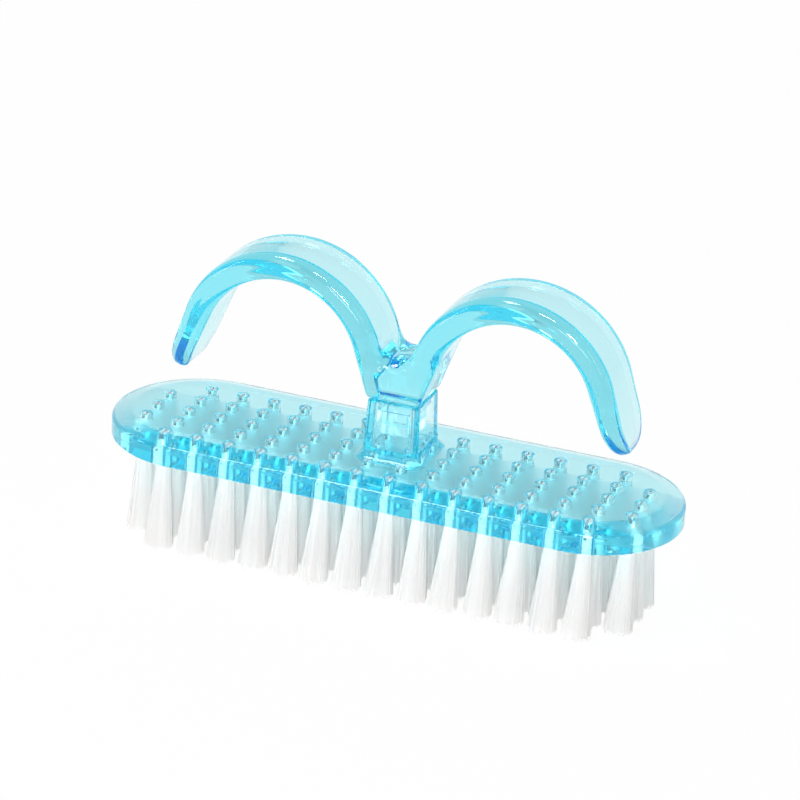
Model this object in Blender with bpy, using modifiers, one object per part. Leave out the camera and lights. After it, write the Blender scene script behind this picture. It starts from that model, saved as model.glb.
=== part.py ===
# Nail dust brush. A clear blue moulded back carries a hollow socket, a double arched finger handle is
# pressed into the socket, and white nylon tufts are stapled into blind holes in the underside.
# Metres, +Z up, +X along the brush. The origin is on the floor, under the middle of the back.

import math

import bmesh
import bpy
from mathutils import Matrix, Vector

# Clearance between pieces that touch, and how far a cutter runs past what it cuts
fit_gap = 0.0003
overrun = 0.002
weld_distance = 0.000001

# The back: a bar with half round ends, flat on top, that slopes down to a thinner rim
back_length = 0.096
back_width = 0.030
rim_thickness = 0.0035
rim_round = 0.0006
foot_round = 0.0003
rim_round_steps = 3
slope_rise = 0.00078
slope_reach = 0.00335
back_end_steps = 24

# The socket that stands on the back
socket_shift = 0.0008
socket_length = 0.0087
socket_width = 0.0098
socket_height = 0.00972
socket_wall = 0.0012
socket_floor_rise = 0.0014
socket_draft = math.radians(2.0)
socket_corner_round = 0.0010
socket_rim_round = 0.0003
socket_foot_reach = 0.0016
socket_foot_rise = 0.0016
socket_foot_steps = 4
socket_corner_steps = 4

# The tufts: places of the blind holes, and how far the nylon stands out below the back
column_count = 16
row_count = 5
end_column_row_count = 3
end_margin = 0.00675
side_margin = 0.0056
column_pitch = (back_length - 2 * end_margin) / (column_count - 1)
row_pitch = (back_width - 2 * side_margin) / (row_count - 1)
bristle_length = 0.0163
hole_radius = 0.0011
hole_roof = 0.0006
hole_sides = 8
slice_thickness = 0.0008
slice_half_width = 0.0013

# One tuft: its root, the staple across it, and its strands
root_radius = 0.00077
root_sides = 4
staple_length = 0.0011
staple_height = 0.0009
staple_thickness = 0.0003
strand_count = 6
strand_sides = 3
strand_radius = 0.00033
strand_tip_radius = 0.00072
strand_root_ring = 0.00074
strand_tip_ring = 0.00155
strand_sink = 0.0003
strand_trim = 0.0005
lean_at_ends = math.radians(0.5)
lean_at_sides = math.radians(3.0)

# The finger handle: two equal arches that meet in a V over the socket
handle_width = 0.0122
handle_round = 0.0010
handle_round_steps = 2
arch_outer_radius = 0.01725
arch_wall = 0.00425
arch_inner_radius = arch_outer_radius - arch_wall
arch_half_gap = 0.00215
arch_reach = arch_outer_radius + arch_half_gap
arch_rise = 0.01412
arch_inner_drop = 0.0003
arch_inner_shift = 0.0001
valley_rise = 0.01702
outer_leg_lean = math.radians(17.0)
inner_leg_lean = math.radians(22.0)
outer_leg_length = 0.0115
tip_flat = 0.00015
waist_width = 0.0096
waist_rise = 0.01792
waist_reach = 0.0110
waist_crossing = 0.0001
arc_step = math.radians(6.0)

# The plug under the V
plug_length = 0.0062
plug_collar_length = 0.0022
plug_tongue_step = 0.0005
plug_corner_round = 0.0004
plug_sink = 0.0010

# Heights above the floor that the sizes give
back_underside = bristle_length
rim_top = back_underside + rim_thickness
back_top = rim_top + slope_rise
socket_rim = back_top + socket_height
handle_foot = socket_rim + fit_gap
hole_end = back_top - hole_roof


def clear_scene():
    for item in list(bpy.data.objects):
        bpy.data.objects.remove(item, do_unlink=True)


def new_collection(name, hidden):
    collection = bpy.data.collections.new(name)
    bpy.context.scene.collection.children.link(collection)
    collection.hide_render = hidden
    return collection


clear_scene()
parts = new_collection("nail_dust_brush", False)
cutters = new_collection("cutters", True)


def plastic(name, colour, roughness, metallic=0.0, transmission=0.0):
    material = bpy.data.materials.new(name)
    material.use_nodes = True
    shader = material.node_tree.nodes["Principled BSDF"]
    shader.inputs["Base Color"].default_value = (*colour, 1.0)
    shader.inputs["Roughness"].default_value = roughness
    shader.inputs["Metallic"].default_value = metallic
    shader.inputs["Transmission Weight"].default_value = transmission
    return material


def add_object(name, mesh, material=None):
    item = bpy.data.objects.new(name, mesh)
    parts.objects.link(item)
    if material:
        mesh.materials.append(material)
    return item


def as_cutter(item):
    for collection in list(item.users_collection):
        collection.objects.unlink(item)
    cutters.objects.link(item)
    item.hide_render = True
    item.display_type = "WIRE"
    return item


def mesh_object(name, shape, material=None):
    """Makes an object from a bmesh, with its faces turned outwards."""
    bmesh.ops.recalc_face_normals(shape, faces=shape.faces)
    mesh = bpy.data.meshes.new(name)
    shape.to_mesh(mesh)
    shape.free()
    return add_object(name, mesh, material)


def shade_round(item, angle=math.radians(35.0)):
    item.data.shade_smooth()
    item.data.set_sharp_from_angle(angle=angle)


def boolean(item, operation, other):
    modifier = item.modifiers.new(other.name, "BOOLEAN")
    modifier.operation = operation
    modifier.solver = "EXACT"
    modifier.object = as_cutter(other)


def arc(centre, radius, start, end, steps=None):
    """Points on a round stretch of an outline, from one angle to another."""
    steps = steps or max(2, math.ceil(abs(end - start) / arc_step))
    angles = [start + (end - start) * i / steps for i in range(steps + 1)]
    return [(centre[0] + radius * math.cos(a), centre[1] + radius * math.sin(a)) for a in angles]


def flat_piece(name, outline, thickness, placed, material=None):
    """A flat outline as a filled curve, given its thickness and made a welded mesh."""
    curve = bpy.data.curves.new(name, "CURVE")
    curve.dimensions = "2D"
    curve.fill_mode = "BOTH"
    curve.extrude = thickness / 2
    spline = curve.splines.new("POLY")
    spline.points.add(len(outline) - 1)
    for point, (x, y) in zip(spline.points, outline):
        point.co = (x, y, 0.0, 1.0)
    spline.use_cyclic_u = True
    source = bpy.data.objects.new(name + "_outline", curve)
    parts.objects.link(source)
    source.matrix_world = placed
    bpy.context.view_layer.update()
    graph = bpy.context.evaluated_depsgraph_get()
    filled = bpy.data.meshes.new_from_object(source.evaluated_get(graph))
    shape = bmesh.new()
    shape.from_mesh(filled)
    bmesh.ops.remove_doubles(shape, verts=shape.verts, dist=weld_distance)
    flat_angle = math.radians(0.5)
    bmesh.ops.dissolve_limit(shape, angle_limit=flat_angle, verts=shape.verts, edges=shape.edges)
    item = mesh_object(name, shape, material)
    item.matrix_world = placed
    bpy.data.objects.remove(source, do_unlink=True)
    bpy.data.meshes.remove(filled)
    return item


def rounded_ring(half_x, half_y, corner, height, steps):
    """A rectangle with round corners, at a height."""
    ring = []
    for turn in range(4):
        start = turn * math.pi / 2
        sign_x = 1 if turn in (0, 3) else -1
        sign_y = 1 if turn in (0, 1) else -1
        centre = (sign_x * (half_x - corner), sign_y * (half_y - corner))
        ring += arc(centre, corner, start, start + math.pi / 2, steps)
    return [Vector((x, y, height)) for x, y in ring]


def loft(name, rings, material=None):
    """A closed solid through rings of as many points each, lowest first."""
    shape = bmesh.new()
    loops = [[shape.verts.new(point) for point in ring] for ring in rings]
    count = len(loops[0])
    for low, high in zip(loops, loops[1:]):
        for i in range(count):
            j = (i + 1) % count
            shape.faces.new((low[i], low[j], high[j], high[i]))
    shape.faces.new(reversed(loops[0]))
    shape.faces.new(loops[-1])
    return mesh_object(name, shape, material)


def add_box(shape, size, centre):
    placed = Matrix.Translation(centre) @ Matrix.Diagonal((*size, 1.0))
    bmesh.ops.create_cube(shape, size=1.0, matrix=placed)


def tuft_places():
    """The middle of each tuft at the back's underside, by column."""
    columns = []
    for column in range(column_count):
        at_end = column in (0, column_count - 1)
        rows = end_column_row_count if at_end else row_count
        x = (column - (column_count - 1) / 2) * column_pitch
        columns.append([(x, (row - (rows - 1) / 2) * row_pitch) for row in range(rows)])
    return columns


def back_ring(inset, height):
    """The outline of the back, drawn in by an inset, at a height."""
    half_round = back_width / 2
    straight = back_length / 2 - half_round
    radius = half_round - inset
    outline = arc((straight, 0.0), radius, -math.pi / 2, math.pi / 2, back_end_steps)
    outline += arc((-straight, 0.0), radius, math.pi / 2, 3 * math.pi / 2, back_end_steps)
    return [Vector((x, y, height)) for x, y in outline]


def edge_rings(radius, level, side):
    """The rings of a round edge between the rim's wall and a level, above the wall (1) or below it (-1)."""
    rings = []
    for i in range(rim_round_steps + 1):
        turn = math.pi / 2 * i / rim_round_steps
        rings.append(back_ring(radius * (1 - math.cos(turn)), level - side * radius * (1 - math.sin(turn))))
    return rings[::side]


def make_back(material):
    rings = edge_rings(foot_round, back_underside, -1)
    rings += edge_rings(rim_round, rim_top, 1)
    rings.append(back_ring(slope_reach, back_top))
    back = loft("brush_back", rings, material)
    boolean(back, "UNION", socket_shell())
    boolean(back, "DIFFERENCE", socket_cavity())
    boolean(back, "DIFFERENCE", slice_slots())
    boolean(back, "DIFFERENCE", tuft_holes())
    return back


def socket_ring(grow, corner, above_back):
    """A level of the socket, wider towards its foot by the draft."""
    spread = (socket_height - above_back) * math.tan(socket_draft) + grow
    ring = rounded_ring(
        socket_length / 2 + spread,
        socket_width / 2 + spread,
        corner,
        back_top + above_back,
        socket_corner_steps,
    )
    return [point + Vector((socket_shift, 0.0, 0.0)) for point in ring]


def socket_shell():
    rings = [socket_ring(socket_foot_reach, socket_corner_round + socket_foot_reach, -rim_thickness / 2)]
    for i in range(socket_foot_steps + 1):
        turn = math.pi / 2 * i / socket_foot_steps
        reach = socket_foot_reach * (1 - math.sin(turn))
        rise = socket_foot_rise * (1 - math.cos(turn))
        rings.append(socket_ring(reach, socket_corner_round + reach, rise))
    rings.append(socket_ring(0.0, socket_corner_round, socket_height - socket_rim_round))
    rings.append(socket_ring(-socket_rim_round, socket_corner_round, socket_height))
    return loft("socket_shell", rings)


def socket_cavity():
    corner = plug_corner_round + fit_gap
    floor = socket_ring(-socket_wall, corner, socket_floor_rise)
    mouth = socket_ring(-socket_wall, corner, socket_height + overrun)
    return loft("socket_cavity", [floor, mouth])


def slice_slots():
    shape = bmesh.new()
    for places in tuft_places():
        half_run = (places[-1][1] - places[0][1]) / 2 + slice_half_width + fit_gap
        height = slice_thickness + fit_gap + overrun
        size = (2 * (slice_half_width + fit_gap), 2 * half_run, height)
        middle = back_underside + slice_thickness + fit_gap - height / 2
        add_box(shape, size, Vector((places[0][0], 0.0, middle)))
    return mesh_object("slice_slots", shape)


def tuft_holes():
    shape = bmesh.new()
    depth = hole_end - back_underside
    for places in tuft_places():
        for x, y in places:
            placed = Matrix.Translation((x, y, hole_end - depth / 2))
            bmesh.ops.create_cone(
                shape,
                cap_ends=True,
                segments=hole_sides,
                radius1=hole_radius,
                radius2=hole_radius,
                depth=depth,
                matrix=placed,
            )
    return mesh_object("tuft_holes", shape)


def add_strand(shape, start, end):
    """One strand, a thin prism between two points, run past the floor and cut flat on it."""
    along = (end - start).normalized()
    foot = end + along * strand_trim
    length = (foot - start).length
    turn = Vector((0.0, 0.0, 1.0)).rotation_difference(along).to_matrix().to_4x4()
    placed = Matrix.Translation((start + foot) / 2) @ turn
    made = bmesh.ops.create_cone(
        shape,
        cap_ends=True,
        segments=strand_sides,
        radius1=strand_radius,
        radius2=strand_tip_radius,
        depth=length,
        matrix=placed,
    )
    return made["verts"]


def trim_at_floor(shape):
    everything = list(shape.verts) + list(shape.edges) + list(shape.faces)
    cut = bmesh.ops.bisect_plane(
        shape,
        geom=everything,
        plane_co=(0.0, 0.0, 0.0),
        plane_no=(0.0, 0.0, -1.0),
        clear_outer=True,
    )
    edges = [piece for piece in cut["geom_cut"] if isinstance(piece, bmesh.types.BMEdge)]
    bmesh.ops.holes_fill(shape, edges=edges)


def lean_shift(x, y):
    """How far a tuft's tips stand outside its root: none in the middle, most at the rim."""
    last_column = (column_count - 1) / 2 * column_pitch
    last_row = (row_count - 1) / 2 * row_pitch
    shift_x = bristle_length * math.tan(lean_at_ends) * x / last_column
    shift_y = bristle_length * math.tan(lean_at_sides) * y / last_row
    return Vector((shift_x, shift_y, 0.0))


def tuft_strands(name, places):
    shape = bmesh.new()
    start_height = back_underside + strand_sink
    for x, y in places:
        shift = lean_shift(x, y)
        for i in range(strand_count):
            share = 0.0 if i == 0 else 1.0
            angle = 2 * math.pi * i / (strand_count - 1)
            ring = Vector((math.cos(angle), math.sin(angle), 0.0)) * share
            start = Vector((x, y, start_height)) + ring * strand_root_ring
            end = Vector((x, y, 0.0)) + shift + ring * strand_tip_ring
            add_strand(shape, start, end)
    trim_at_floor(shape)
    return mesh_object(name, shape)


def tuft_roots(name, places):
    """The folded end of each tuft, up in its hole."""
    shape = bmesh.new()
    low = back_underside + slice_thickness - strand_sink
    high = hole_end - fit_gap - staple_height / 2
    for x, y in places:
        bmesh.ops.create_cone(
            shape,
            cap_ends=True,
            segments=root_sides,
            radius1=root_radius,
            radius2=root_radius,
            depth=high - low,
            matrix=Matrix.Translation((x, y, (low + high) / 2)),
        )
    return mesh_object(name, shape)


def tuft_staples(name, places):
    """The flat metal staple that pins each tuft in its hole."""
    shape = bmesh.new()
    top = hole_end - fit_gap
    for x, y in places:
        middle = Vector((x, y, top - staple_height / 2))
        add_box(shape, (staple_thickness, staple_length, staple_height), middle)
    return mesh_object(name, shape)


def make_tuft_column(number, places, material):
    name = f"tuft_column_{number:02d}"
    shape = bmesh.new()
    run = places[-1][1] - places[0][1] + 2 * slice_half_width
    middle = Vector((places[0][0], 0.0, back_underside + slice_thickness / 2))
    add_box(shape, (2 * slice_half_width, run, slice_thickness), middle)
    column = mesh_object(name, shape, material)
    boolean(column, "UNION", tuft_roots(name + "_roots", places))
    boolean(column, "UNION", tuft_staples(name + "_staples", places))
    boolean(column, "UNION", tuft_strands(name + "_strands", places))
    return column


def tangent_angle(centre, radius, point):
    """The angle at which a line from a point below touches the left of an arch."""
    away = Vector(point) - Vector(centre)
    return math.atan2(away.y, away.x) % (2 * math.pi) - math.acos(radius / away.length)


def arch_side():
    """Half of the handle, at +X: the face up from the socket, the face back from the leg, and the valley."""
    inner_centre = (arch_reach + arch_inner_shift, back_top + arch_rise - arch_inner_drop)
    outer_centre = (arch_reach, back_top + arch_rise)
    corner = (socket_length / 2, handle_foot)
    touch = tangent_angle(inner_centre, arch_inner_radius, corner)
    inner = [corner] + arc(inner_centre, arch_inner_radius, touch, inner_leg_lean)
    drop = valley_rise - arch_rise
    valley_round = (arch_reach**2 + drop**2 - arch_outer_radius**2) / (2 * (arch_outer_radius - drop))
    valley_centre = (0.0, back_top + valley_rise + valley_round)
    meet = math.atan2(drop + valley_round, -arch_reach)
    outer = arc(outer_centre, arch_outer_radius, outer_leg_lean, meet)
    valley = arc(valley_centre, valley_round, meet - math.pi, -math.pi / 2)
    return inner, outer, valley


def leg_end(inner, outer):
    """Where the two faces of the leg end: (inner corner, outer corner, direction down the leg)."""
    mean = (outer_leg_lean + inner_leg_lean) / 2
    down = Vector((math.sin(mean), -math.cos(mean)))
    outer_down = Vector((math.sin(outer_leg_lean), -math.cos(outer_leg_lean)))
    inner_down = Vector((math.sin(inner_leg_lean), -math.cos(inner_leg_lean)))
    outer_corner = Vector(outer[0]) + outer_down * outer_leg_length
    inner_top = Vector(inner[-1])
    inner_run = (outer_corner - inner_top).dot(down) / inner_down.dot(down)
    return inner_top + inner_down * inner_run, outer_corner, down


def tip_cutter(name, side, inner_corner, outer_corner, down):
    """Cuts the end of one leg to a half round, seen square to the leg."""
    radius = handle_width / 2
    over = radius + overrun
    outline = arc((0.0, radius - tip_flat), radius, -math.pi, 0.0)
    outline += [(over, radius - tip_flat), (over, -overrun), (-over, -overrun), (-over, radius - tip_flat)]
    middle = (inner_corner + outer_corner) / 2
    thickness = (outer_corner - inner_corner).length + 2 * overrun
    up = Vector((-side * down.x, 0.0, -down.y))
    across = Vector((0.0, 1.0, 0.0))
    through = across.cross(up)
    turn = Matrix((across, up, through)).transposed().to_4x4()
    placed = Matrix.Translation((side * middle.x + socket_shift, 0.0, middle.y)) @ turn
    return flat_piece(name, outline, thickness, placed)


def waist_cutter(name, side):
    """Draws one face of the V in towards the socket."""
    wide = handle_width / 2 + waist_crossing
    inset = wide - waist_width / 2
    rise = back_top + waist_rise - handle_foot
    radius = (inset**2 + rise**2) / (2 * inset)
    sweep = math.asin(rise / radius)
    top = back_top + waist_rise
    outline = arc((wide - radius, top), radius, 0.0, -sweep)
    far = wide + overrun
    foot = handle_foot - overrun
    outline += [(waist_width / 2, foot), (far, foot), (far, top)]
    outline = [(side * across, height) for across, height in outline]
    turn = Matrix(((0, 0, 1), (1, 0, 0), (0, 1, 0))).to_4x4()
    placed = Matrix.Translation((socket_shift, 0.0, 0.0)) @ turn
    return flat_piece(name, outline, 2 * waist_reach, placed)


def plug():
    half_x = socket_length / 2 - socket_wall - fit_gap
    half_y = socket_width / 2 - socket_wall - fit_gap
    levels = (
        (plug_tongue_step, handle_foot - plug_length),
        (plug_tongue_step, handle_foot - plug_collar_length),
        (0.0, handle_foot - plug_collar_length),
        (0.0, handle_foot + plug_sink),
    )
    rings = [
        rounded_ring(half_x - step, half_y - step, plug_corner_round, height, socket_corner_steps)
        for step, height in levels
    ]
    shift = Vector((socket_shift, 0.0, 0.0))
    return loft("plug", [[point + shift for point in ring] for ring in rings])


def make_handle(material):
    inner, outer, valley = arch_side()
    inner_corner, outer_corner, down = leg_end(inner, outer)
    right = inner + [tuple(inner_corner), tuple(outer_corner)] + outer + valley[1:]
    left = [(-x, z) for x, z in reversed(right[:-1])]
    turn = Matrix(((1, 0, 0), (0, 0, -1), (0, 1, 0))).to_4x4()
    placed = Matrix.Translation((socket_shift, 0.0, 0.0)) @ turn
    handle = flat_piece("finger_handle", right + left, handle_width, placed, material)
    for side, word in ((1, "right"), (-1, "left")):
        boolean(handle, "DIFFERENCE", tip_cutter(word + "_tip_cutter", side, inner_corner, outer_corner, down))
    for side, word in ((1, "rear"), (-1, "front")):
        boolean(handle, "DIFFERENCE", waist_cutter(word + "_waist_cutter", side))
    rounding = handle.modifiers.new("edge_round", "BEVEL")
    rounding.width = handle_round
    rounding.segments = handle_round_steps
    rounding.limit_method = "ANGLE"
    rounding.angle_limit = math.radians(40.0)
    rounding.use_clamp_overlap = False
    boolean(handle, "UNION", plug())
    return handle


clear_blue = (0.30, 0.80, 0.95)
back = make_back(plastic("brush_back", clear_blue, 0.05, transmission=0.9))
handle = make_handle(plastic("finger_handle", clear_blue, 0.05, transmission=0.9))
for item in (back, handle):
    shade_round(item)
for number, places in enumerate(tuft_places(), start=1):
    nylon = plastic(f"tuft_column_{number:02d}", (0.93, 0.95, 0.96), 0.45)
    make_tuft_column(number, places, nylon)
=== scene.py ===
import math
import random

import bmesh
import bpy
from mathutils import Matrix, Vector


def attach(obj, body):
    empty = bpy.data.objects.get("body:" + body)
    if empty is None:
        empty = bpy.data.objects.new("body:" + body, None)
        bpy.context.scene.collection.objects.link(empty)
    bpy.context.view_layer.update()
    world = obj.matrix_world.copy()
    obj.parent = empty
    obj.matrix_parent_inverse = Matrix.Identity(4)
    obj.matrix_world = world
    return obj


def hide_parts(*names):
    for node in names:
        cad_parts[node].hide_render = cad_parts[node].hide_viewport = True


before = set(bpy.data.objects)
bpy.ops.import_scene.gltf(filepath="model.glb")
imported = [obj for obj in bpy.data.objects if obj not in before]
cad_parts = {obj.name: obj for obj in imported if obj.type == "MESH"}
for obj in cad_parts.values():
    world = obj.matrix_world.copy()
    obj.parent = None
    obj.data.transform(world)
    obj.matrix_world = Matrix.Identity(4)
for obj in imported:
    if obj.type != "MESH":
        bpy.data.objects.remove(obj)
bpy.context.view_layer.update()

# Heights above the floor that more than one piece uses, in metres
underside = 0.0163   # of the clear back, where the bristles come out
rimTop = 0.0198      # the back slopes up from here
backTop = 0.02058    # the flat middle of its top
handleFoot = 0.0306
midX = 0.0008        # socket and handle stand this far right of the middle


# small mesh helpers

def keepShape(name, shape):
    bmesh.ops.recalc_face_normals(shape, faces=shape.faces)
    mesh = bpy.data.meshes.new(name)
    shape.to_mesh(mesh)
    shape.free()
    item = bpy.data.objects.new(name, mesh)
    bpy.context.scene.collection.objects.link(item)
    return item


def arcPoints(centre, radius, start, end, steps):
    angles = [start + (end - start) * i / steps for i in range(steps + 1)]
    return [(centre[0] + radius * math.cos(a), centre[1] + radius * math.sin(a)) for a in angles]


def loftRings(shape, rings):
    # closed skin through rings of the same count, lowest first
    loops = [[shape.verts.new(p) for p in ring] for ring in rings]
    n = len(loops[0])
    for low, high in zip(loops, loops[1:]):
        for i in range(n):
            shape.faces.new((low[i], low[(i + 1) % n], high[(i + 1) % n], high[i]))
    shape.faces.new(reversed(loops[0]))
    shape.faces.new(loops[-1])


def roundedBoxRing(halfX, halfY, corner, steps, z):
    # a level outline with rounded corners, round the axis of the socket
    ring = []
    for turn in range(4):
        signX = 1 if turn in (0, 3) else -1
        signY = 1 if turn in (0, 1) else -1
        start = turn * math.pi / 2
        centre = (signX * (halfX - corner), signY * (halfY - corner))
        ring += arcPoints(centre, corner, start, start + math.pi / 2, steps)
    return [Vector((midX + x, y, z)) for x, y in ring]


def cutOrJoin(item, operation, tool):
    # runs a boolean at once and throws the tool away
    step = item.modifiers.new(tool.name, "BOOLEAN")
    step.operation = operation
    step.solver = "EXACT"
    step.object = tool
    bakeModifiers(item)
    bpy.data.objects.remove(tool, do_unlink=True)


def bakeModifiers(item):
    graph = bpy.context.evaluated_depsgraph_get()
    graph.update()
    done = bpy.data.meshes.new_from_object(item.evaluated_get(graph))
    item.modifiers.clear()
    item.data = done


def polish(item, sharpAngle):
    # smooth rounds that leave the flat faces truly flat, so they refract cleanly
    item.data.shade_smooth()
    item.data.set_sharp_from_angle(angle=math.radians(sharpAngle))
    weights = item.modifiers.new("flatFacesFirst", "WEIGHTED_NORMAL")
    weights.keep_sharp = True
    weights.weight = 80


def fit(item, material, slotName, *nodes):
    item.data.materials.clear()
    item.data.materials.append(material)
    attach(item, "root")
    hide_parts(*nodes)


# where the tufts stand

tuftGrid = {
    "columns": 16,
    "rows": 5,
    "endRows": 3,          # in the first and last column
    "columnPitch": 0.0055,
    "rowPitch": 0.0047,
    "leanAtEnds": 0.5,     # degrees
    "leanAtSides": 3.0,
    "sweep": 0.0005,       # the tips are worn to the left, most at the right end
}


def tuftPlaces():
    g = tuftGrid
    places = []
    for c in range(g["columns"]):
        rows = g["endRows"] if c in (0, g["columns"] - 1) else g["rows"]
        x = (c - (g["columns"] - 1) / 2) * g["columnPitch"]
        for r in range(rows):
            places.append((c + 1, x, (r - (rows - 1) / 2) * g["rowPitch"]))
    return places


def tipShift(x, y):
    g = tuftGrid
    endX = (g["columns"] - 1) / 2 * g["columnPitch"]
    endY = (g["rows"] - 1) / 2 * g["rowPitch"]
    sweep = g["sweep"] * min(1.0, (1 + x / endX) * 0.8)
    return Vector((underside * math.tan(math.radians(g["leanAtEnds"])) * x / endX - sweep,
                   underside * math.tan(math.radians(g["leanAtSides"])) * y / endY, 0.0))


# materials

clearBlue = {
    "ior": 1.50,
    "roughness": 0.02,
    "mattUnderside": 0.38,         # the eroded mould face that the bristles come out of
    "polished": (0.0066, 0.0086),  # it is matt up to here on each side, polished from there
    "faceDepth": 0.0001,           # how thick a layer counts as that face
    "backDensity": 120.0,          # higher, as lamps light the bristles through it untinted
    "handleDensity": 104.0,
    "throughColour": (0.037, 0.895, 0.983),
    "shadowTint": (0.96, 0.98, 0.985),
    "waveScale": 350.0,            # of the faint waviness that moulding leaves
    "waveDetail": 1.0,
    "waveStrength": 0.5,
    "waveDepth": 0.00002,
}


def clearBluePlastic(name, density):
    m = bpy.data.materials.new(name)
    m.use_nodes = True
    tree = m.node_tree
    shader = tree.nodes["Principled BSDF"]
    shader.inputs["Base Color"].default_value = (1, 1, 1, 1)
    shader.inputs["Transmission Weight"].default_value = 1.0
    shader.inputs["IOR"].default_value = clearBlue["ior"]
    place = tree.nodes.new("ShaderNodeTexCoord")
    waves = tree.nodes.new("ShaderNodeTexNoise")
    waves.inputs["Scale"].default_value = clearBlue["waveScale"]
    waves.inputs["Detail"].default_value = clearBlue["waveDetail"]
    bump = tree.nodes.new("ShaderNodeBump")
    bump.inputs["Strength"].default_value = clearBlue["waveStrength"]
    bump.inputs["Distance"].default_value = clearBlue["waveDepth"]
    inside = tree.nodes.new("ShaderNodeVolumeAbsorption")
    inside.inputs["Color"].default_value = (*clearBlue["throughColour"], 1)
    inside.inputs["Density"].default_value = density
    link = tree.links.new
    link(place.outputs["Object"], waves.inputs["Vector"])
    link(waves.outputs["Fac"], bump.inputs["Height"])
    link(bump.outputs["Normal"], shader.inputs["Normal"])
    # matt only on the middle of the underside
    apart = tree.nodes.new("ShaderNodeSeparateXYZ")
    low = tree.nodes.new("ShaderNodeMath")
    low.operation = "LESS_THAN"
    low.inputs[1].default_value = underside + clearBlue["faceDepth"]
    aside = tree.nodes.new("ShaderNodeMath")
    aside.operation = "ABSOLUTE"
    matt = tree.nodes.new("ShaderNodeMapRange")
    matt.inputs["From Min"].default_value = clearBlue["polished"][0]
    matt.inputs["From Max"].default_value = clearBlue["polished"][1]
    matt.inputs["To Min"].default_value = clearBlue["mattUnderside"]
    matt.inputs["To Max"].default_value = clearBlue["roughness"]
    rough = tree.nodes.new("ShaderNodeMapRange")
    rough.inputs["To Min"].default_value = clearBlue["roughness"]
    link(place.outputs["Object"], apart.inputs["Vector"])
    link(apart.outputs["Z"], low.inputs[0])
    link(apart.outputs["Y"], aside.inputs[0])
    link(aside.outputs[0], matt.inputs["Value"])
    link(low.outputs[0], rough.inputs["Value"])
    link(matt.outputs["Result"], rough.inputs["To Max"])
    link(rough.outputs["Result"], shader.inputs["Roughness"])
    out = tree.nodes["Material Output"]
    link(inside.outputs["Volume"], out.inputs["Volume"])
    # lamps shine through to what lies behind it
    clear = tree.nodes.new("ShaderNodeBsdfTransparent")
    clear.inputs["Color"].default_value = (*clearBlue["shadowTint"], 1)
    path = tree.nodes.new("ShaderNodeLightPath")
    mix = tree.nodes.new("ShaderNodeMixShader")
    link(path.outputs["Is Shadow Ray"], mix.inputs["Fac"])
    link(shader.outputs[0], mix.inputs[1])
    link(clear.outputs[0], mix.inputs[2])
    link(mix.outputs[0], out.inputs["Surface"])
    return m


nylon = {
    "bright": (0.988, 0.976, 0.970),
    "dull": (0.95, 0.948, 0.950),
    "roughness": 0.5,
    "throughShare": 0.5,
    "streakScale": 4000.0,
    "streakStretch": (1.0, 1.0, 0.03),   # long along the filaments
    "streakDetail": 3.0,
    "dullUpTo": 0.3,        # of the noise
    "brightFrom": 0.65,
}


def whiteNylon():
    m = bpy.data.materials.new("whiteNylon")
    m.use_nodes = True
    tree = m.node_tree
    shader = tree.nodes["Principled BSDF"]
    shader.inputs["Roughness"].default_value = nylon["roughness"]
    place = tree.nodes.new("ShaderNodeTexCoord")
    stretch = tree.nodes.new("ShaderNodeMapping")
    stretch.inputs["Scale"].default_value = nylon["streakStretch"]
    streaks = tree.nodes.new("ShaderNodeTexNoise")
    streaks.inputs["Scale"].default_value = nylon["streakScale"]
    streaks.inputs["Detail"].default_value = nylon["streakDetail"]
    shade = tree.nodes.new("ShaderNodeValToRGB")
    first, last = shade.color_ramp.elements
    first.position, last.position = nylon["dullUpTo"], nylon["brightFrom"]
    first.color = (*nylon["dull"], 1)
    last.color = (*nylon["bright"], 1)
    link = tree.links.new
    link(place.outputs["Object"], stretch.inputs["Vector"])
    link(stretch.outputs["Vector"], streaks.inputs["Vector"])
    link(streaks.outputs["Fac"], shade.inputs["Fac"])
    link(shade.outputs["Color"], shader.inputs["Base Color"])
    # milky filaments pass part of the light on to those behind them
    through = tree.nodes.new("ShaderNodeBsdfTranslucent")
    link(shade.outputs["Color"], through.inputs["Color"])
    milky = tree.nodes.new("ShaderNodeMixShader")
    milky.inputs["Fac"].default_value = nylon["throughShare"]
    link(shader.outputs[0], milky.inputs[1])
    link(through.outputs[0], milky.inputs[2])
    link(milky.outputs[0], tree.nodes["Material Output"].inputs["Surface"])
    return m


steelStrip = {
    "colour": (0.45, 0.47, 0.50),
    "lineScale": 9000.0,
    "lineStretch": (1.0, 0.05, 1.0),   # drawing lines run along the staple
    "roughness": (0.25, 0.5),
}


def stapleSteel():
    m = bpy.data.materials.new("stapleSteel")
    m.use_nodes = True
    tree = m.node_tree
    shader = tree.nodes["Principled BSDF"]
    shader.inputs["Base Color"].default_value = (*steelStrip["colour"], 1)
    shader.inputs["Metallic"].default_value = 1.0
    place = tree.nodes.new("ShaderNodeTexCoord")
    stretch = tree.nodes.new("ShaderNodeMapping")
    stretch.inputs["Scale"].default_value = steelStrip["lineStretch"]
    lines = tree.nodes.new("ShaderNodeTexNoise")
    lines.inputs["Scale"].default_value = steelStrip["lineScale"]
    dull = tree.nodes.new("ShaderNodeMapRange")
    dull.inputs["To Min"].default_value = steelStrip["roughness"][0]
    dull.inputs["To Max"].default_value = steelStrip["roughness"][1]
    link = tree.links.new
    link(place.outputs["Object"], stretch.inputs["Vector"])
    link(stretch.outputs["Vector"], lines.inputs["Vector"])
    link(lines.outputs["Fac"], dull.inputs["Value"])
    link(dull.outputs["Result"], shader.inputs["Roughness"])
    return m


# the clear back with its socket

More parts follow.
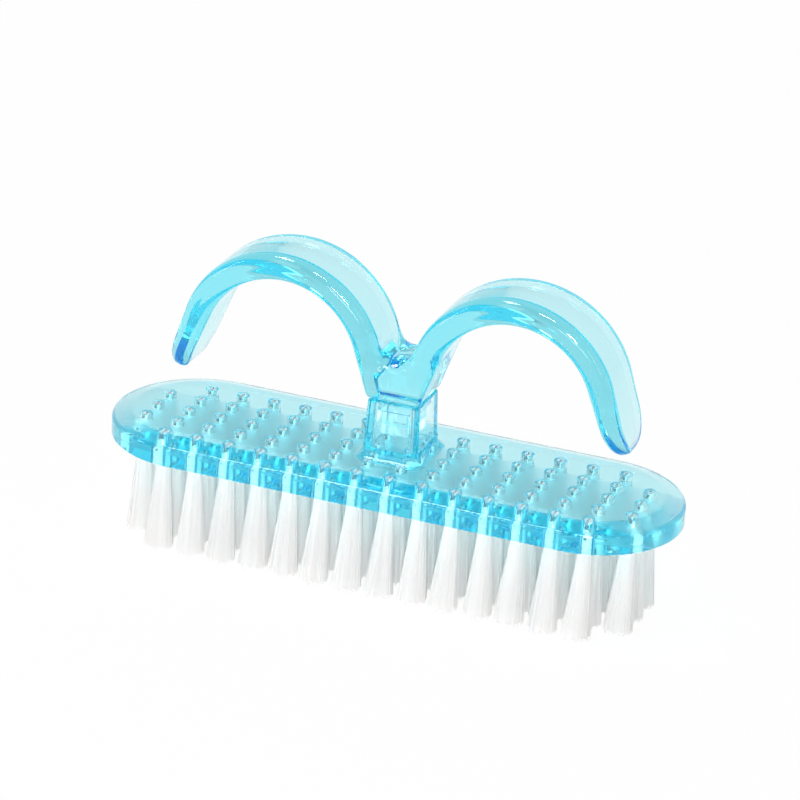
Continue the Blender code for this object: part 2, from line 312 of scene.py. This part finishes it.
back = {
    "length": 0.096,
    "width": 0.030,
    "slopeReach": 0.00335,   # from the rim in to the flat top
    "creaseRound": 0.0004,   # between that slope and the flat top
    "topRound": 0.0008,
    "footRound": 0.0003,
    "endSteps": 64,
    "roundSteps": 7,
    "creaseSteps": 5,
}

holes = {
    "radius": 0.0011,
    "roof": 0.0006,       # plastic left above a hole
    "endRound": 0.0011,   # a domed end
    "endSteps": 4,
    "sides": 32,
    "through": 0.002,     # how far the cutter stands out below
}

socket = {
    "length": 0.0087,
    "width": 0.0098,
    "height": 0.00972,
    "wall": 0.0012,
    "floorRise": 0.0014,
    "draft": 2.0,         # degrees
    "cornerRound": 0.0010,
    "rimRound": 0.0003,
    "footReach": 0.0016,  # of the fillet at its foot
    "footRise": 0.0016,
    "sunk": 0.0017,       # into the back
    "boreCorner": 0.0007,
    "boreRound": ((0.0003, 0.0), (0.0001, 0.0001), (0.0, 0.0003)),   # in and up, from the floor
    "through": 0.002,     # how far the cutter stands out above
    "footSteps": 10,
    "rimSteps": 4,
    "cornerSteps": 8,
}


def backRing(inset, z):
    r = back["width"] / 2
    straight = back["length"] / 2 - r
    ring = arcPoints((straight, 0), r - inset, -math.pi / 2, math.pi / 2, back["endSteps"])
    ring += arcPoints((-straight, 0), r - inset, math.pi / 2, 3 * math.pi / 2, back["endSteps"])
    return [Vector((x, y, z)) for x, y in ring]


def makeBack():
    shape = bmesh.new()
    steps = back["roundSteps"]
    rings = []
    for i in range(steps + 1):
        a = math.pi / 2 * i / steps
        r = back["footRound"]
        rings.append(backRing(r * (1 - math.sin(a)), underside + r * (1 - math.cos(a))))
    for i in range(steps + 1):
        a = math.pi / 2 * i / steps
        r = back["topRound"]
        rings.append(backRing(r * (1 - math.cos(a)), rimTop - r * (1 - math.sin(a))))
    # the slope, with a soft crease where it meets the flat top
    soft = back["creaseRound"]
    slope = (backTop - rimTop) / (back["slopeReach"] - back["topRound"])
    for i in range(back["creaseSteps"] + 1):
        f = i / back["creaseSteps"]
        inset = back["slopeReach"] - soft + 2 * soft * f
        rings.append(backRing(inset, backTop - slope * soft * (1 - f) ** 2))
    loftRings(shape, rings)
    item = keepShape("clearBack", shape)
    cutOrJoin(item, "UNION", socketPost())
    cutOrJoin(item, "DIFFERENCE", socketBore())
    cutOrJoin(item, "DIFFERENCE", blindHoles())
    return item


def socketRing(grow, corner, rise):
    s = socket
    spread = (s["height"] - rise) * math.tan(math.radians(s["draft"])) + grow
    halfX, halfY = s["length"] / 2 + spread, s["width"] / 2 + spread
    return roundedBoxRing(halfX, halfY, corner, s["cornerSteps"], backTop + rise)


def socketPost():
    s = socket
    shape = bmesh.new()
    rings = [socketRing(s["footReach"], s["cornerRound"] + s["footReach"], -s["sunk"])]
    for i in range(s["footSteps"] + 1):
        a = math.pi / 2 * i / s["footSteps"]
        reach = s["footReach"] * (1 - math.sin(a))
        rise = s["footRise"] * (1 - math.cos(a))
        rings.append(socketRing(reach, s["cornerRound"] + reach, rise))
    for i in range(s["rimSteps"] + 1):
        a = math.pi / 2 * i / s["rimSteps"]
        r = s["rimRound"]
        rise = s["height"] - r * (1 - math.sin(a))
        rings.append(socketRing(-r * (1 - math.cos(a)), s["cornerRound"], rise))
    loftRings(shape, rings)
    return keepShape("socketPost", shape)


def socketBore():
    s = socket
    shape = bmesh.new()
    rings = [socketRing(-s["wall"] - inset, s["boreCorner"] - inset, s["floorRise"] + rise)
             for inset, rise in s["boreRound"]]
    rings.append(socketRing(-s["wall"], s["boreCorner"], s["height"] + s["through"]))
    loftRings(shape, rings)
    return keepShape("socketBore", shape)


def blindHoles():
    h = holes
    shape = bmesh.new()
    end = backTop - h["roof"]
    for _, x, y in tuftPlaces():
        levels = [(h["radius"], underside - h["through"])]
        for i in range(h["endSteps"] + 1):
            a = math.pi / 2 * i / h["endSteps"]
            r = h["endRound"]
            levels.append((h["radius"] - r * (1 - math.cos(a)), end - r * (1 - math.sin(a))))
        rings = []
        for radius, z in levels:
            circle = arcPoints((x, y), radius, 0, 2 * math.pi, h["sides"])[:-1]
            rings.append([Vector((px, py, z)) for px, py in circle])
        loftRings(shape, rings)
    return keepShape("blindHoles", shape)


# the finger handle, two arches that meet in a V

handle = {
    "width": 0.0122,
    "edgeRound": 0.0019,
    "valleyEdge": 0.0034,    # rounder where the arches meet
    "fullestRound": 0.93,    # of half the thickness
    "footRound": 0.0004,
    "footBlend": 0.004,      # height over which the foot's edge turns into the arches'
    "cornerRound": 0.0007,   # where the V meets its flat foot
    "reach": 0.0194,         # of an arch's centre from the middle
    "rise": 0.01412,         # of that centre above the back
    "outerRadius": 0.01722,
    "innerRadius": 0.0130,
    "innerDrop": 0.0003,     # of the inner circle's centre
    "innerShift": 0.0001,
    "valleyRise": 0.01702,   # of the lowest point between the arches
    "outerLean": math.radians(17.0),
    "innerLean": math.radians(22.0),
    "legLength": 0.0115,
    "waistWidth": 0.0096,    # of the V at its foot
    "waistRise": 0.01792,
    "waistReach": 0.0110,
    "waistCrossing": 0.0001,
    "tipSteps": 18,
    "legSteps": 12,
    "archSteps": 44,         # each quarter
    "runSteps": 14,
    "cornerSteps": 6,
    "footSteps": 8,
    "roundSteps": 10,
    "faceSteps": 6,
}

plug = {
    "length": 0.0062,
    "collar": 0.0022,        # its wider part, under the V
    "tongueStep": 0.0005,    # how much slimmer the rest is
    "clearance": 0.0003,     # to the socket's wall
    "cornerRound": 0.0004,
    "cornerSteps": 6,
    "sink": 0.0010,          # into the V
}


def between(a, b, share):
    return (a[0] + (b[0] - a[0]) * share, a[1] + (b[1] - a[1]) * share)


def onCircle(centre, radius, angle):
    return (centre[0] + radius * math.cos(angle), centre[1] + radius * math.sin(angle))


def archStations():
    # an inner and an outer point and the distance from the tip,
    # from the right tip to the middle of the V
    h = handle
    innerCentre = (h["reach"] + h["innerShift"], backTop + h["rise"] - h["innerDrop"])
    outerCentre = (h["reach"], backTop + h["rise"])
    corner = (socket["length"] / 2, handleFoot)
    away = Vector(corner) - Vector(innerCentre)
    touch = math.atan2(away.y, away.x) % (2 * math.pi) - math.acos(h["innerRadius"] / away.length)
    drop = h["valleyRise"] - h["rise"]
    valleyRound = h["reach"] ** 2 + drop ** 2 - h["outerRadius"] ** 2
    valleyRound = valleyRound / (2 * (h["outerRadius"] - drop))
    valleyCentre = (0.0, backTop + h["valleyRise"] + valleyRound)
    meet = math.atan2(drop + valleyRound, -h["reach"])

    outerDown = (math.sin(h["outerLean"]), -math.cos(h["outerLean"]))
    innerDown = (math.sin(h["innerLean"]), -math.cos(h["innerLean"]))
    mean = (h["outerLean"] + h["innerLean"]) / 2
    down = Vector((math.sin(mean), -math.cos(mean)))
    outerTop = onCircle(outerCentre, h["outerRadius"], h["outerLean"])
    innerTop = onCircle(innerCentre, h["innerRadius"], h["innerLean"])
    leg = h["legLength"]
    outerTip = (outerTop[0] + outerDown[0] * leg, outerTop[1] + outerDown[1] * leg)
    run = (Vector(outerTip) - Vector(innerTop)).dot(down) / Vector(innerDown).dot(down)
    innerTip = (innerTop[0] + innerDown[0] * run, innerTop[1] + innerDown[1] * run)

    half = h["width"] / 2
    pairs = []
    for i in range(1, h["tipSteps"] + 1):
        far = half * (1 - math.cos(math.pi / 2 * i / h["tipSteps"]))
        share = far / leg
        pairs.append((between(innerTip, innerTop, share), between(outerTip, outerTop, share), far))
    for i in range(1, h["legSteps"] + 1):
        share = (half + (leg - half) * i / h["legSteps"]) / leg
        pairs.append((between(innerTip, innerTop, share), between(outerTip, outerTop, share), half))
    quarter = math.pi / 2
    quarters = ((h["innerLean"], quarter, h["outerLean"], quarter), (quarter, touch, quarter, meet))
    for innerFrom, innerTo, outerFrom, outerTo in quarters:
        for i in range(1, h["archSteps"] + 1):
            f = i / h["archSteps"]
            innerAngle = innerFrom + (innerTo - innerFrom) * f
            outerAngle = outerFrom + (outerTo - outerFrom) * f
            pairs.append((onCircle(innerCentre, h["innerRadius"], innerAngle),
                          onCircle(outerCentre, h["outerRadius"], outerAngle), half))

    def valleyPoint(share):
        return onCircle(valleyCentre, valleyRound, meet - math.pi + (quarter - meet) * share)

    touchPoint = onCircle(innerCentre, h["innerRadius"], touch)
    gap = (Vector(touchPoint) - Vector(corner)).length
    runEnd = between(corner, touchPoint, h["cornerRound"] / gap)
    footStart = (corner[0] - h["cornerRound"], corner[1])
    for i in range(1, h["runSteps"] + 1):
        f = i / h["runSteps"]
        pairs.append((between(touchPoint, runEnd, f), valleyPoint(0.6 * f), half))
    for i in range(1, h["cornerSteps"] + 1):
        f = i / h["cornerSteps"]
        bend = between(between(runEnd, corner, f), between(corner, footStart, f), f)
        pairs.append((bend, valleyPoint(0.6 + 0.1 * f), half))
    for i in range(1, h["footSteps"] + 1):
        f = i / h["footSteps"]
        pairs.append((between(footStart, (0.0, handleFoot), f), valleyPoint(0.7 + 0.3 * f), half))
    return pairs


def halfWidth(x, z):
    # the V draws in towards its foot
    h = handle
    full = h["width"] / 2
    top = backTop + h["waistRise"]
    if abs(x) > h["waistReach"] or z > top:
        return full
    wide = full + h["waistCrossing"]
    inset = wide - h["waistWidth"] / 2
    rise = top - handleFoot
    radius = (inset ** 2 + rise ** 2) / (2 * inset)
    return min(full, wide - radius + math.sqrt(radius ** 2 - (top - max(z, handleFoot)) ** 2))


def archRing(inner, outer, fromTip, side):
    # one closed section of the band, with rounded long edges
    h = handle
    inner, outer = Vector(inner), Vector(outer)
    middle, across = (inner + outer) / 2, (outer - inner).normalized()
    half = (outer - inner).length / 2
    full = h["width"] / 2
    wide = math.sqrt(full ** 2 - (full - fromTip) ** 2)
    fullest = h["fullestRound"] * half
    nearValley = max(0.0, 1 - outer.x / h["waistReach"])
    upRound = min(h["edgeRound"] + (h["valleyEdge"] - h["edgeRound"]) * nearValley, fullest)
    aboveFoot = 1.0
    if inner.x < h["waistReach"]:
        aboveFoot = min(1.0, max(0.0, (inner.y - handleFoot) / h["footBlend"]))
    lowRound = min(h["footRound"] + (h["edgeRound"] - h["footRound"]) * aboveFoot, fullest)

    def height(y, radius):
        depth = full - math.hypot(full - fromTip, y)
        q = min(1.0, max(0.0, depth / radius))
        return half - radius * (1 - math.sqrt(1 - (1 - q) ** 2))

    reach = max(h["edgeRound"], upRound) / full
    ys = [wide * (1 - (1 - math.cos(math.pi / 2 * k / h["roundSteps"])) * reach)
          for k in range(h["roundSteps"] + 1)]
    ys = ys + [-y for y in reversed(ys)]
    section = [(y, height(y, upRound)) for y in ys]
    low = [(y, -height(y, lowRound)) for y in reversed(ys)]
    for k in range(1, h["faceSteps"]):
        f = k / h["faceSteps"]
        section.append((ys[-1], section[len(ys) - 1][1] * (1 - f) + low[0][1] * f))
    section += low
    first, last = section[0], low[-1]
    for k in range(1, h["faceSteps"]):
        f = k / h["faceSteps"]
        section.append((ys[0], last[1] * (1 - f) + first[1] * f))
    ring = []
    for y, t in section:
        at = middle + across * t
        ring.append(Vector((side * at.x + midX, y * halfWidth(at.x, at.y) / full, at.y)))
    return ring


def handlePlug():
    p = plug
    halfX = socket["length"] / 2 - socket["wall"] - p["clearance"]
    halfY = socket["width"] / 2 - socket["wall"] - p["clearance"]
    shape = bmesh.new()
    collarFoot = handleFoot - p["collar"]
    levels = ((p["tongueStep"], handleFoot - p["length"]), (p["tongueStep"], collarFoot),
              (0.0, collarFoot), (0.0, handleFoot + p["sink"]))
    loftRings(shape, [
        roundedBoxRing(halfX - step, halfY - step, p["cornerRound"], p["cornerSteps"], z)
        for step, z in levels
    ])
    return keepShape("handlePlug", shape)


def makeHandle():
    pairs = archStations()
    shape = bmesh.new()
    rings = [archRing(*pair, 1) for pair in pairs]
    rings += [archRing(*pair, -1) for pair in reversed(pairs[:-1])]
    loftRings(shape, rings)
    item = keepShape("clearHandle", shape)
    cutOrJoin(item, "UNION", handlePlug())
    return item


# nylon tufts, each folded over a flat steel staple

tuft = {
    "filaments": 150,
    "thickness": 0.00014,
    "coreShare": 0.93,      # of the tuft's radius
    "coreFlute": 0.025,
    "coreSides": 40,
    "coreEnd": 0.0006,      # the core stops this far above the floor
    "coreLevels": (0.85, 0.7, 0.55, 0.4, 0.27, 0.16, 0.08, 0.03, 0.0),   # 0 is the underside
    "coreTop": ((0.0004, 1.0), (0.0001, 0.85), (0.0, 0.5)),   # down from its top, share of radius
    "coreSkin": 0.01,       # unevenness of the filaments that lie on the core
    "sides": 5,
    "steps": 6,
    "stepCrowding": 1.2,
    "rootRadius": 0.00108,
    "tipRadius": 0.0025,
    "rootTop": 0.0010,      # below the end of the hole
    "rootReach": 0.0028,    # of the filaments up into the hole
    "tipsFrom": 0.88,       # filaments inside the core start here
    "tipWander": (0.00012, 0.00010),
    "turnWander": 0.15,
    "spread": (0.94, 1.06),
    "strayShare": 0.05,     # of the filaments, which stand out a little
    "strayReach": (0.05, 0.2),
    "raggedTips": 0.00025,
    "floorGap": 0.00005,
    "bow": (0.9, 1.15),     # above 1 they spread more at the tips
    "sharpAngle": 60,
}

staple = {
    "length": 0.0025,       # its ends bite into the plastic
    "height": 0.0016,
    "thickness": 0.0004,
    "below": 0.0008,        # the end of the hole
    "edgeRound": 0.00006,
    "edgeSteps": 2,
}


def addFilament(shape, points, radius, sides, turn):
    # a thin tube with flat ends through the points
    rings = []
    for i, p in enumerate(points):
        along = (points[min(i + 1, len(points) - 1)] - points[max(i - 1, 0)]).normalized()
        side = along.cross(Vector((math.cos(turn), math.sin(turn), 0.0))).normalized()
        other = along.cross(side)
        rings.append([p + radius * (side * math.cos(a) + other * math.sin(a))
                      for a in (2 * math.pi * k / sides for k in range(sides))])
    loftRings(shape, rings)


def tuftRadius(f, bow):
    t = tuft
    return t["rootRadius"] + (t["tipRadius"] - t["rootRadius"]) * f ** bow


def addCore(shape, foot, shift, bow, chance):
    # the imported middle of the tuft, lightly fluted
    t = tuft
    flutes = [1 + chance.gauss(0, t["coreFlute"]) for _ in range(t["coreSides"])]
    rings = []
    low = t["coreEnd"] / underside
    for f in (1 - low, *t["coreLevels"]):
        # fuller at the underside, where the hole still packs it
        r = tuftRadius(f, bow) * (t["coreShare"] + (0.99 - t["coreShare"]) * max(0.0, 1 - 6 * f))
        z = underside * (1 - f)
        centre = foot + shift * f
        ring = []
        for k, flute in enumerate(flutes):
            a = 2 * math.pi * k / t["coreSides"]
            way = Vector((math.cos(a), math.sin(a), 0.0))
            ring.append(centre + way * r * (1 + (flute - 1) * min(1.0, 4 * f)) + Vector((0, 0, z)))
        rings.append(ring)
    top = backTop - holes["roof"] - t["rootTop"]
    for down, share in t["coreTop"]:
        r = (t["rootRadius"] - 0.00001) * share
        rings.append([foot + Vector((r * math.cos(a), r * math.sin(a), top - down))
                      for a in (2 * math.pi * k / t["coreSides"] for k in range(t["coreSides"]))])
    loftRings(shape, rings)


def makeTuft(name, x, y, chance):
    t = tuft
    shape = bmesh.new()
    foot = Vector((x, y, 0.0))
    wanderX, wanderY = t["tipWander"]
    shift = tipShift(x, y) + Vector((chance.gauss(0, wanderX), chance.gauss(0, wanderY), 0.0))
    bow = chance.uniform(*t["bow"])
    addCore(shape, foot, shift, bow, chance)
    golden = math.pi * (3 - math.sqrt(5))
    for i in range(t["filaments"]):
        share = math.sqrt((i + 0.5) / t["filaments"])
        angle = i * golden + chance.uniform(-t["turnWander"], t["turnWander"])
        way = Vector((math.cos(angle), math.sin(angle), 0.0))
        tipShare = share * chance.uniform(*t["spread"])
        if chance.random() < t["strayShare"]:
            tipShare += chance.uniform(*t["strayReach"])
        end = t["floorGap"] + abs(chance.gauss(0, t["raggedTips"]))
        # filaments inside the core only show at the tips
        onSkin = share > t["coreShare"] - 0.2
        first = 0.0 if onSkin else t["tipsFrom"]
        points = []
        for s in range(t["steps"]):
            f = first + (1 - first) * (s / (t["steps"] - 1)) ** t["stepCrowding"]
            reach = tuftRadius(f, bow) * (share + (tipShare - share) * f)
            if onSkin:
                skin = t["coreShare"] + t["coreSkin"] * chance.uniform(-1, 1)
                reach = max(reach, tuftRadius(f, bow) * skin)
            z = underside * (1 - f) + end * f
            points.append(foot + shift * f + way * (reach - t["thickness"] / 2) + Vector((0, 0, z)))
        if onSkin:
            points.insert(0, points[0] + Vector((0, 0, t["rootReach"])))
        addFilament(shape, points, t["thickness"] / 2, t["sides"], angle)
    item = keepShape(name, shape)
    item.data.shade_smooth()
    item.data.set_sharp_from_angle(angle=math.radians(t["sharpAngle"]))
    return item


def makeStaple(name, x, y):
    s = staple
    shape = bmesh.new()
    high = backTop - holes["roof"] - s["below"]
    size = (s["thickness"], s["length"], s["height"])
    placed = Matrix.Translation((x, y, high - s["height"] / 2)) @ Matrix.Diagonal((*size, 1.0))
    bmesh.ops.create_cube(shape, size=1.0, matrix=placed)
    bmesh.ops.bevel(shape, geom=list(shape.edges), offset=s["edgeRound"],
                    segments=s["edgeSteps"], affect="EDGES")
    item = keepShape(name, shape)
    item.data.shade_smooth()
    return item


# floor, lights and camera

floor = {
    "halfSize": 3.0,
    "paint": (0.9, 0.9, 0.9),
    "whiteInPicture": 0.96,   # the rest is paint, which keeps the shadow
    "whiteInGlass": 0.75,
}


def paleFloor():
    shape = bmesh.new()
    bmesh.ops.create_grid(shape, x_segments=1, y_segments=1, size=floor["halfSize"])
    item = keepShape("paleFloor", shape)
    m = bpy.data.materials.new("paleFloorPaint")
    m.use_nodes = True
    tree = m.node_tree
    tree.nodes.clear()
    link = tree.links.new
    out = tree.nodes.new("ShaderNodeOutputMaterial")
    paint = tree.nodes.new("ShaderNodeBsdfDiffuse")
    paint.inputs["Color"].default_value = (*floor["paint"], 1)
    white = tree.nodes.new("ShaderNodeEmission")
    white.inputs["Color"].default_value = (1, 1, 1, 1)
    white.inputs["Strength"].default_value = 1.0
    path = tree.nodes.new("ShaderNodeLightPath")
    throughGlass = tree.nodes.new("ShaderNodeMath")
    throughGlass.operation = "MAXIMUM"
    link(path.outputs["Is Glossy Ray"], throughGlass.inputs[0])
    link(path.outputs["Is Transmission Ray"], throughGlass.inputs[1])
    glassShare = tree.nodes.new("ShaderNodeMath")
    glassShare.operation = "MULTIPLY"
    glassShare.inputs[1].default_value = floor["whiteInGlass"]
    link(throughGlass.outputs[0], glassShare.inputs[0])
    cameraShare = tree.nodes.new("ShaderNodeMath")
    cameraShare.operation = "MULTIPLY"
    cameraShare.inputs[1].default_value = floor["whiteInPicture"]
    link(path.outputs["Is Camera Ray"], cameraShare.inputs[0])
    share = tree.nodes.new("ShaderNodeMath")
    share.operation = "MAXIMUM"
    link(cameraShare.outputs[0], share.inputs[0])
    link(glassShare.outputs[0], share.inputs[1])
    mix = tree.nodes.new("ShaderNodeMixShader")
    link(share.outputs[0], mix.inputs["Fac"])
    link(paint.outputs[0], mix.inputs[1])
    link(white.outputs[0], mix.inputs[2])
    link(mix.outputs[0], out.inputs["Surface"])
    item.data.materials.append(m)


room = {
    "fill": (0.22, 0.22, 0.22),         # soft light from all sides
    "backdropWay": (0.0, 0.25, -1.0),   # where glass sees the white backdrop
    "fadeFrom": -0.85,                  # and along it, where the dim part ends
    "fadeTo": -0.30,
    "dim": 0.45,
    "bright": 0.82,
}


def skyLight():
    world = bpy.data.worlds.new("studio")
    bpy.context.scene.world = world
    world.use_nodes = True
    tree = world.node_tree
    tree.nodes.clear()
    link = tree.links.new
    out = tree.nodes.new("ShaderNodeOutputWorld")
    soft = tree.nodes.new("ShaderNodeBackground")
    white = tree.nodes.new("ShaderNodeBackground")
    soft.inputs["Color"].default_value = (*room["fill"], 1)
    soft.inputs["Strength"].default_value = 1.0
    white.inputs["Strength"].default_value = 1.0
    white.inputs["Color"].default_value = (1, 1, 1, 1)
    # glass shows a white backdrop low down and a dimmer room overhead
    way = tree.nodes.new("ShaderNodeTexCoord")
    turned = tree.nodes.new("ShaderNodeVectorMath")
    turned.operation = "DOT_PRODUCT"
    turned.inputs[1].default_value = room["backdropWay"]
    fade = tree.nodes.new("ShaderNodeMapRange")
    fade.interpolation_type = "SMOOTHSTEP"
    fade.inputs["From Min"].default_value = room["fadeFrom"]
    fade.inputs["From Max"].default_value = room["fadeTo"]
    tone = tree.nodes.new("ShaderNodeMapRange")
    tone.inputs["To Min"].default_value = room["dim"]
    tone.inputs["To Max"].default_value = room["bright"]
    dimmed = tree.nodes.new("ShaderNodeMath")
    dimmed.operation = "MAXIMUM"
    link(way.outputs["Generated"], turned.inputs[0])
    link(turned.outputs["Value"], fade.inputs["Value"])
    link(fade.outputs["Result"], tone.inputs["Value"])
    path = tree.nodes.new("ShaderNodeLightPath")
    link(tone.outputs["Result"], dimmed.inputs[0])
    link(path.outputs["Is Camera Ray"], dimmed.inputs[1])
    link(dimmed.outputs[0], white.inputs["Strength"])
    seen = tree.nodes.new("ShaderNodeMath")
    seen.operation = "MAXIMUM"
    link(path.outputs["Is Camera Ray"], seen.inputs[0])
    link(path.outputs["Is Glossy Ray"], seen.inputs[1])
    seenToo = tree.nodes.new("ShaderNodeMath")
    seenToo.operation = "MAXIMUM"
    link(seen.outputs[0], seenToo.inputs[0])
    link(path.outputs["Is Transmission Ray"], seenToo.inputs[1])
    mix = tree.nodes.new("ShaderNodeMixShader")
    link(seenToo.outputs[0], mix.inputs["Fac"])
    link(soft.outputs[0], mix.inputs[1])
    link(white.outputs[0], mix.inputs[2])
    link(mix.outputs[0], out.inputs["Surface"])


# metres and watts
softboxes = {
    "front": {"at": (0.223, -0.631, 0.311), "size": (0.10, 0.10), "power": 1.5},
    "frontHigh": {"at": (0.10, -0.47, 0.595), "size": (0.16, 0.12), "power": 1.15},
    "frontLow": {"at": (0.14, -0.70, 0.14), "size": (0.30, 0.10), "power": 0.45},
    "frontLeft": {"at": (-0.22, -0.52, 0.42), "size": (0.22, 0.36), "power": 0.4},
    "overhead": {"at": (-0.23, -0.10, 0.70), "size": (0.28, 0.12), "power": 1.7},
    "rightStrip": {"at": (0.60, -0.45, 0.30), "size": (0.06, 0.30), "power": 0.2},
    "leftStrip": {"at": (-0.60, -0.30, 0.30), "size": (0.06, 0.30), "power": 0.3},
    "rear": {"at": (-0.28, 0.62, 0.24), "size": (0.30, 0.30), "power": 1.3},
}
brushMiddle = Vector((0, 0, 0.025))   # all lamps point at it


def hangSoftboxes():
    for name, box in softboxes.items():
        light = bpy.data.lights.new(name, "AREA")
        light.shape = "RECTANGLE"
        light.size, light.size_y = box["size"]
        light.energy = box["power"]
        item = bpy.data.objects.new(name, light)
        bpy.context.scene.collection.objects.link(item)
        item.location = box["at"]
        if name == "rear":   # fill light, not mirrored in the plastic
            item.visible_glossy = item.visible_transmission = False
        aim = brushMiddle - Vector(box["at"])
        item.rotation_euler = aim.to_track_quat("-Z", "Y").to_euler()


view = {
    "azimuth": 19.546,      # degrees
    "elevation": 23.504,
    "roll": 3.463,
    "distance": 0.6168,     # from the middle of the back, in metres
    "slideRight": 0.00083,
    "slideUp": 0.00849,
    "lens": 174.15,         # millimetres
}


def placeCamera():
    v = view
    a, e, r = (math.radians(v[k]) for k in ("azimuth", "elevation", "roll"))
    ahead = Vector((-math.sin(a) * math.cos(e), math.cos(a) * math.cos(e), -math.sin(e)))
    level = Vector((math.cos(a), math.sin(a), 0.0))
    over = level.cross(ahead)
    right = level * math.cos(r) + over * math.sin(r)
    up = over * math.cos(r) - level * math.sin(r)
    spot = Vector((0, 0, rimTop)) + right * v["slideRight"] + up * v["slideUp"]
    spot -= ahead * v["distance"]
    lens = bpy.data.cameras.new("photoCamera")
    lens.lens = v["lens"]
    lens.sensor_width = 36.0
    lens.clip_start = 0.01
    item = bpy.data.objects.new("photoCamera", lens)
    bpy.context.scene.collection.objects.link(item)
    turn = Matrix((right, up, -ahead)).transposed().to_4x4()
    item.matrix_world = Matrix.Translation(spot) @ turn
    bpy.context.scene.camera = item


placeCamera()
hangSoftboxes()
skyLight()
paleFloor()
print("studio done")

backPlastic = clearBluePlastic("clearBlueBack", clearBlue["backDensity"])
handlePlastic = clearBluePlastic("clearBlueHandle", clearBlue["handleDensity"])
whiteFilament = whiteNylon()
steel = stapleSteel()

sharpAngle = 35   # degrees, of an edge that stays crisp in the clear pieces
clearBack = makeBack()
polish(clearBack, sharpAngle)
fit(clearBack, backPlastic, "clear_blue_plastic", "brush_back")
print("clear back done")

clearHandle = makeHandle()
polish(clearHandle, sharpAngle)
fit(clearHandle, handlePlastic, "clear_blue_plastic", "finger_handle")
print("handle done")

chance = random.Random(7)
for number, (column, x, y) in enumerate(tuftPlaces(), start=1):
    node = f"tuft_column_{column:02d}"
    bunch = makeTuft(f"tuft_{number:02d}", x, y, chance)
    fit(bunch, whiteFilament, "white_nylon", node)
    pin = makeStaple(f"staple_{number:02d}", x, y)
    fit(pin, steel, "white_nylon", node)
print("tufts done")

# light crosses many clear walls and goes far into the white tufts
scene = bpy.context.scene
scene.view_settings.view_transform = "Standard"
scene.cycles.max_bounces = 64
scene.cycles.diffuse_bounces = 20
scene.cycles.glossy_bounces = 48
scene.cycles.transmission_bounces = 48
